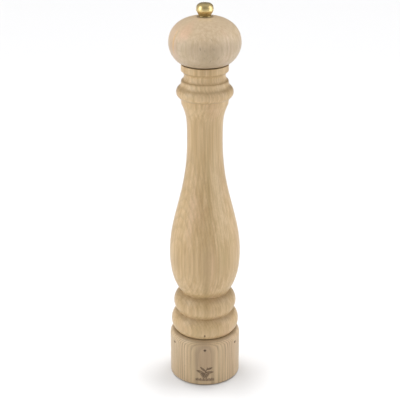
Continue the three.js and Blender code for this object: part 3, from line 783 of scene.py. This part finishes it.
def adjuster_core():
    bottom, top = CORE_FLANGE
    bore, outer, flange, foot, crest = 12.4, 14.6, 26.4, 41, 62
    track, slope, depth = 1.6, 0.5, 0.7
    groove_bottom, groove_top, groove_r = 56.9, 58.7, 13.8
    inner_edge, outer_edge = DETENT_R - track, DETENT_R + track
    corners = [(bore, foot), (outer, foot), (outer, bottom), (flange, bottom), (flange, top)]
    corners += [(outer_edge, top), (outer_edge - slope, top - depth), (inner_edge + slope, top - depth)]
    corners += [(inner_edge, top), (outer, top), (outer, groove_bottom), (groove_r, groove_bottom)]
    corners += [(groove_r, groove_top), (outer, groove_top), (outer, crest), (bore, crest)]
    solid = moulded(corners)
    pockets = [rod(1, top - depth - 0.5, top, DETENT_R, angle) for angle in SETTING_ANGLES]
    cutters = screw_cutters(CORE_SCREWS_R, BETWEEN_THIRDS, bottom - 1, top + 1, top - 1.5, top + 1)
    place(combine(solid, pockets + cutters), "thread_core", "adjuster_core", "base_ring", "black_plastic")


def retaining_ring():
    solid = turned(sleeve(14.1, 16.8, 57.1, 58.5))
    split = block(8, 4, 56, 60, 17.2, math.pi / 4)
    place(combine(solid, [split]), "split_ring", "retaining_ring", "base_ring", "spring_steel", bevel=0.15)


# ---- what stays with the body ----


def housing():
    flange_bottom, flange_top = low("mechanism_housing").z, low("turned_body").z + 2.7
    ledge, flange, outer, bore, top = 14.9, 26.6, 19.4, 17.2, high("mechanism_housing").z
    seat_r, seat = 18.2, 85
    ledge_top = flange_bottom + 3
    corners = [(ledge, flange_bottom), (flange, flange_bottom), (flange, flange_top), (outer, flange_top)]
    corners += [(outer, top), (seat_r, top), (seat_r, seat), (bore, seat)]
    corners += [(bore, ledge_top), (ledge, ledge_top)]
    solid = moulded(corners)
    keys = [block(2.6, 3, 60, 84, 16.9, angle) for angle in THIRDS]
    solid = combine(solid, keys, "UNION")
    leaf_bottom = low("detent_leaf").z
    cutters = screw_cutters(FLANGE_SCREWS_R, THIRDS, flange_bottom - 1, flange_top + 1,
                            flange_bottom - 1, flange_bottom + 1.3)
    ball_hole = rod(1.7, flange_bottom - 1, leaf_bottom, DETENT_R, FRONT)
    slot = block(3.8, 13.6, leaf_bottom - 0.1, flange_top + 1, DETENT_R, FRONT)
    solid = combine(solid, cutters + [ball_hole, slot])
    place(solid, "mechanism_sleeve", "mechanism_housing", "body", "black_plastic")


def bearing_spider():
    bottom, top = 85.1, 87.5
    solid = turned(sleeve(14.8, 17.9, bottom, top))
    hub = rod(7.2, low("bearing_spider").z, high("bearing_spider").z, sides=72)
    arms = [block(11, 4.5, bottom + 0.01, top - 0.01, 10, angle) for angle in THIRDS]
    solid = combine(combine(solid, [hub, *arms], "UNION"), [rod(5.4, 81, 90.5, sides=72)])
    place(solid, "three_arm_bridge", "bearing_spider", "body", "plated_steel", bevel=0.25)


def bush_and_washers():
    bush = turned(sleeve(4.1, 5.2, low("shaft_bush").z, high("shaft_bush").z, 0.3))
    place(bush, "bearing_bush", "shaft_bush", "body", "bush_brass")
    thrust = turned(sleeve(4.2, 7, low("thrust_washer").z, high("thrust_washer").z, 0.2))
    place(thrust, "hardened_washer", "thrust_washer", "shaft", "plated_steel")
    clip = turned(sleeve(3.6, 6.2, low("retaining_clip").z, high("retaining_clip").z))
    cuts = [block(8, 4, 90, 92, 6)] + [rod(1.0, 90, 92, 6.4, angle) for angle in (2.0, -2.0)]
    place(combine(clip, cuts), "shaft_clip", "retaining_clip", "shaft", "spring_steel", bevel=0.12)


def click_ball():
    radius = (high("detent_ball").z - low("detent_ball").z) / 2
    middle = (high("detent_ball").z + low("detent_ball").z) / 2
    steps = np.linspace(FRONT, -FRONT, 33)
    outline = [radius * np.cos(a) + (middle + radius * np.sin(a)) * 1j for a in steps]
    outline[0], outline[-1] = (middle - radius) * 1j, (middle + radius) * 1j
    ball = moved(turned(outline, 48), DETENT_R, FRONT)
    place(ball, "click_ball", "detent_ball", "body", "spring_steel")


def detent_leaf():
    """A flat spring strip with rounded ends."""
    bottom, top = low("detent_leaf").z, high("detent_leaf").z
    length, width = 13, 3.2
    along = np.linspace(-0.5, 0.5, 49) * length
    end = np.clip((abs(along) - (length - width) / 2) / (width / 2), 0, 0.98)
    half = width / 2 * np.sqrt(1 - end**2)
    corners = [(-1, bottom), (1, bottom), (1, top), (-1, top)]
    levels = [np.stack([side * half, along, np.full(49, level)], axis=-1) for side, level in corners]
    solid = moved(capped(np.stack(levels, axis=1)), DETENT_R, FRONT)
    place(solid, "click_leaf", "detent_leaf", "body", "spring_steel", bevel=0.06)


# ---- what slides in the housing ----

FINE_TEETH, FLUTES = 24, 6
TOOTH_ANGLES = around(FINE_TEETH * 12)


def toothed(radius, count, depth, twist):
    """Saw teeth: each ramps down by depth, turned by twist."""
    return radius - depth * (((TOOTH_ANGLES + twist) * count / TURN) % 1)


def square_radius(across, angles):
    """A square bar with its corners taken off."""
    half = across / 2
    return np.minimum(half / np.maximum(abs(np.cos(angles)), abs(np.sin(angles))), half * 1.36)


def blended(levels, steps):
    """Levels of (radii, height) with steps levels from each to the next."""
    made = []
    for (first, low_z), (last, high_z) in zip(levels, levels[1:]):
        shares = [i / steps for i in range(steps)]
        made += [(first + (last - first) * t, low_z + (high_z - low_z) * t) for t in shares]
    return made + levels[-1:]


def burr(name, node, body, levels):
    """A ground steel burr from closed levels of (radii, height)."""
    radii = np.array([radius * np.ones(len(TOOTH_ANGLES)) for radius, _ in levels])
    solid = grid_solid(level_points(radii, np.array([z for _, z in levels]), TOOTH_ANGLES))
    place(solid, name, node, body, "burr_steel", sharp=25)


def burrs():
    bottom, top, waist = low("outer_burr").z, high("outer_burr").z, 52
    inner = [(toothed(9.6, FLUTES, 0, 0), top), (toothed(9.6, FLUTES, 0.9, 0.25), (top + waist) / 2),
             (toothed(8.9, FINE_TEETH, 0, 0), waist), (toothed(9.5, FINE_TEETH, 0.5, 0), bottom)]
    outer = [(10.15, bottom), (10.4, bottom + 0.25), (10.4, top - 0.25), (10.15, top)]
    burr("ring_burr", "outer_burr", "stator", outer + blended(inner, 6))

    bottom, top, waist = low("inner_burr").z, high("inner_burr").z, 51
    hole = square_radius(6, TOOTH_ANGLES)
    flutes = []
    for t in np.linspace(0, 1, 6):
        depth = 1.7 * (1 - t) * min(1, 4 * t)
        flutes.append((toothed(8.2 - 3.3 * t, FLUTES, depth, t), waist + (top - waist) * t))
    lower = [(toothed(8.6, FINE_TEETH, 0.6, 0), bottom), (toothed(8.2, FINE_TEETH, 0.6, 0.1), waist - 0.8)]
    levels = [(hole, top), (hole, bottom)] + blended(lower, 6) + blended(flutes, 6)
    burr("cone_burr", "inner_burr", "shaft", levels)


def stator_carrier():
    bottom, top = low("stator_carrier").z, high("stator_carrier").z
    outer, flange, flange_bottom, bore, lip, seat = 12.1, 16.9, 63.6, 10.7, 9.9, 61.2
    mouth, lip_top = 12.6, bottom + 0.9
    corners = [(lip, bottom), (outer, bottom), (outer, flange_bottom), (flange, flange_bottom)]
    corners += [(flange, top), (mouth, top), (bore, seat), (bore, lip_top), (lip, lip_top)]
    solid = moulded(corners)
    notches = [block(4, 3.6, flange_bottom - 1, top + 1, 17.3, angle) for angle in THIRDS]
    place(combine(solid, notches), "burr_carrier", "stator_carrier", "stator", "pale_plastic")


def carrier_spring():
    """The wire climbs less at both ends, which lie flat."""
    radius, wire, turns = 14, 0.65, 4
    bottom, top = low("carrier_spring").z + wire, high("carrier_spring").z - wire
    share = np.linspace(0, 1, 64 * turns + 1)[:, None]
    rise = (share**2 * (3 - 2 * share)) * 0.4 + share * 0.6
    section = around(12)
    reach = radius + wire * np.cos(section)
    height = bottom + (top - bottom) * rise + wire * np.sin(section)
    turn = TURN * turns * share
    solid = capped(np.stack([reach * np.cos(turn), reach * np.sin(turn), height], axis=-1))
    place(solid, "feed_spring", "carrier_spring", "body", "spring_steel")
    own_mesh(solid)


# ---- shaft and drive plate ----


def drive_shaft():
    angles = around(64)
    bar, bottom, top = square_radius(5.6, angles), low("drive_shaft").z, high("drive_shaft").z
    bore, bore_top, journal, groove, shoulder, root, crest = 1.85, 55.5, 4, 3.4, 5.2, 2.4, 2.8
    thread_bottom, pitch = 373, 0.8
    shoulder_bottom, shoulder_top, journal_bottom, journal_top = 70.3, 73, 80, 92
    groove_bottom, groove_top, ledge, edge = 90.6, 91.7, 0.01, 0.2
    levels = [(bore, bore_top), (bore, bottom + 0.4), (bore + 0.4, bottom), (bar - 0.3, bottom)]
    levels += [(bar, bottom + 0.3), (bar, shoulder_bottom), (shoulder - edge, shoulder_bottom)]
    levels += [(shoulder, shoulder_bottom + edge), (shoulder, shoulder_top - edge)]
    levels += [(shoulder - edge, shoulder_top), (bar, shoulder_top), (bar, journal_bottom)]
    levels += [(journal, journal_bottom + ledge), (journal, groove_bottom), (groove, groove_bottom + ledge)]
    levels += [(groove, groove_top - ledge), (journal, groove_top), (journal - edge, journal_top - 0.1)]
    levels += [(bar, z) for z in [journal_top, *np.linspace(100, thread_bottom - 1, 30)]]
    levels += [(bar - 0.4, thread_bottom), (root, thread_bottom + ledge)]
    for z in np.arange(thread_bottom + 1, top - 0.7, pitch / 8):
        start = min(1, (z - thread_bottom - 1) / 1.5)
        levels.append((root + (crest - root) * start * thread(z, angles, pitch), z))
    levels.append((crest - 0.7, top))
    radii = np.array([radius * np.ones(len(angles)) for radius, _ in levels])
    solid = capped(level_points(radii, np.array([z for _, z in levels]), angles))
    place(solid, "square_shaft", "drive_shaft", "shaft", "shaft_steel")


def drive_plate():
    bottom, top = low("drive_plate").z, high("drive_plate").z
    hole_r = PLATE_SCREW["shank"] + SCREW_GAP
    holes = [rod(hole_r, bottom - 1, top + 1, PLATE_SCREWS_R, angle) for angle in (0, math.pi)]
    solid = combine(rod(10, bottom, top, sides=96), holes + [block(6, 6, bottom - 1, top + 1)])
    place(solid, "head_drive_plate", "drive_plate", "head", "plated_steel", bevel=0.12)


base_ring()
turned_body()
head()
knob()
washer()
fasteners()
adjuster_core()
retaining_ring()
housing()
bearing_spider()
bush_and_washers()
click_ball()
detent_leaf()
burrs()
stator_carrier()
carrier_spring()
drive_shaft()
drive_plate()

# ---- the room, the lights and the camera ----


def aim(obj, place, target):
    obj.location = place
    obj.rotation_euler = (Vector(target) - Vector(place)).to_track_quat("-Z", "Y").to_euler()
    bpy.context.scene.collection.objects.link(obj)
    return obj


def softbox(name, place, width, height, power):
    lamp = bpy.data.lights.new(name, "AREA")
    lamp.shape, lamp.size, lamp.size_y, lamp.energy = "RECTANGLE", width, height, power
    aim(bpy.data.objects.new(name, lamp), place, (0, 0, 0.2))


def floor():
    bpy.ops.mesh.primitive_plane_add(size=14, location=(0, 0, 0))
    paper = bpy.context.object
    paper.name = "floor"
    g = Graph("floor_paper")
    fibres = g.noise(g.per_mm(0.5, 0.5, 0.5), detail=2)
    tone = g.mix(fibres, (0.665, 0.665, 0.67, 1), (0.68, 0.68, 0.685, 1))
    paper.data.materials.append(g.finish(Base_Color=tone, Roughness=0.9, Specular_IOR_Level=0.1))


def studio_air():
    """A white room, darker behind the camera and low down behind the mill. The camera sees it white."""
    world = bpy.context.scene.world or bpy.data.worlds.new("studio")
    bpy.context.scene.world = world
    world.use_nodes = True
    tree = world.node_tree
    split = tree.nodes.new("ShaderNodeSeparateXYZ")
    tree.links.new(tree.nodes.new("ShaderNodeTexCoord").outputs["Generated"], split.inputs[0])
    both = tree.nodes.new("ShaderNodeMath")
    both.operation = "MULTIPLY"
    for socket, ramp in zip(both.inputs, ((-1.0, -0.1, 0.31, 0.6), (0.45, 0.95, 1.0, 0.4))):
        level = tree.nodes.new("ShaderNodeMapRange")
        tree.links.new(split.outputs[1], level.inputs["Value"])
        for name, value in zip(("From Min", "From Max", "To Min", "To Max"), ramp):
            level.inputs[name].default_value = value
        tree.links.new(level.outputs[0], socket)
    seen = tree.nodes.new("ShaderNodeMath")
    seen.operation = "MAXIMUM"
    tree.links.new(both.outputs[0], seen.inputs[0])
    tree.links.new(tree.nodes.new("ShaderNodeLightPath").outputs["Is Camera Ray"], seen.inputs[1])
    tree.links.new(seen.outputs[0], tree.nodes["Background"].inputs["Strength"])
    tree.nodes["Background"].inputs["Color"].default_value = (1, 1, 1, 1)


def overhead(name, across):
    """A lamp high up and a little behind, which leans in from one side. It shows in no reflection."""
    lamp = bpy.data.lights.new(name, "SUN")
    lamp.energy, lamp.angle = 1.5, math.radians(8)
    aim(bpy.data.objects.new(name, lamp), (across, 0.14, 2), (0, 0, 0)).visible_glossy = False


def camera():
    data = bpy.data.cameras.new("camera")
    data.sensor_width, data.lens = 36, 91.3
    data.shift_x, data.shift_y = -0.0122, -0.004
    bpy.context.scene.camera = aim(bpy.data.objects.new("camera", data), (0, -0.96, 0.594), (0, 0, 0.2))


floor()
studio_air()
overhead("overhead_left", -0.16)
overhead("overhead_right", 0.16)
softbox("left_softbox", (-1.05, -0.42, 0.65), 0.6, 0.9, 5.4)
softbox("right_softbox", (1.1, -0.15, 0.55), 0.6, 1.2, 4.6)
camera()
bpy.context.scene.view_settings.view_transform = "Standard"
